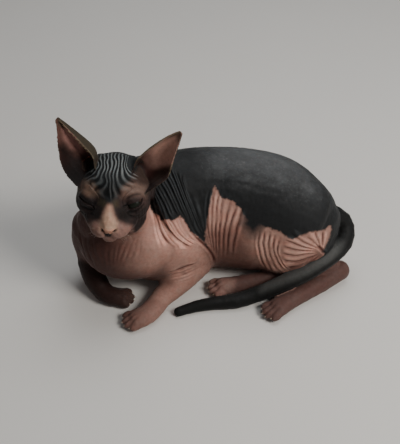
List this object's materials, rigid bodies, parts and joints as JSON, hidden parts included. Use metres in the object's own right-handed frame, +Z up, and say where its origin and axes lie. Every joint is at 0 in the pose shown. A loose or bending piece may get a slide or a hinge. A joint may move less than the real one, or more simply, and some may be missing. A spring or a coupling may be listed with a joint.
{
  "type": "sphynx cat",
  "caption": "Life-size still model of a hairless sphynx cat lying with its chest raised on bent forelegs, hips rolled onto one side and the tail curled along the flank.",
  "frame": {"origin": "on the floor under the middle of the whole cat's box", "axes": "+X from the head end to the rump, -Y out of the left flank, +Z up"},
  "size_m": [0.3093, 0.1749, 0.2136],
  "materials": {
    "dark_skin": "soft matte wrinkled skin, blue-black with a grey bloom",
    "pink_skin": "soft satin wrinkled skin, pinkish brown",
    "face_skin": "soft matte skin, dark mask with a cream blaze",
    "ear_skin": "thin dusky reddish brown skin with an olive rim",
    "eye": "wet gloss, dark grey-green"
  },
  "bodies": {
    "root": {"head": "face_skin", "neck": "dark_skin", "chest": "pink_skin", "belly": "dark_skin", "rump": "dark_skin", "foreleg_left_upper": "pink_skin", "foreleg_left_forearm": "pink_skin", "foreleg_left_paw": "pink_skin", "foreleg_right_upper": "pink_skin", "foreleg_right_forearm": "pink_skin", "foreleg_right_paw": "pink_skin", "hindleg_left_thigh": "pink_skin", "hindleg_left_shin": "pink_skin", "hindleg_left_foot": "pink_skin", "hindleg_right_thigh": "pink_skin", "hindleg_right_foot": "pink_skin", "ear_left": "ear_skin", "ear_right": "ear_skin", "eye_left": "eye", "eye_right": "eye", "tail_base": "dark_skin", "tail_upper": "dark_skin", "tail_lower": "dark_skin", "tail_tip": "dark_skin"}
  },
  "joints": []
}
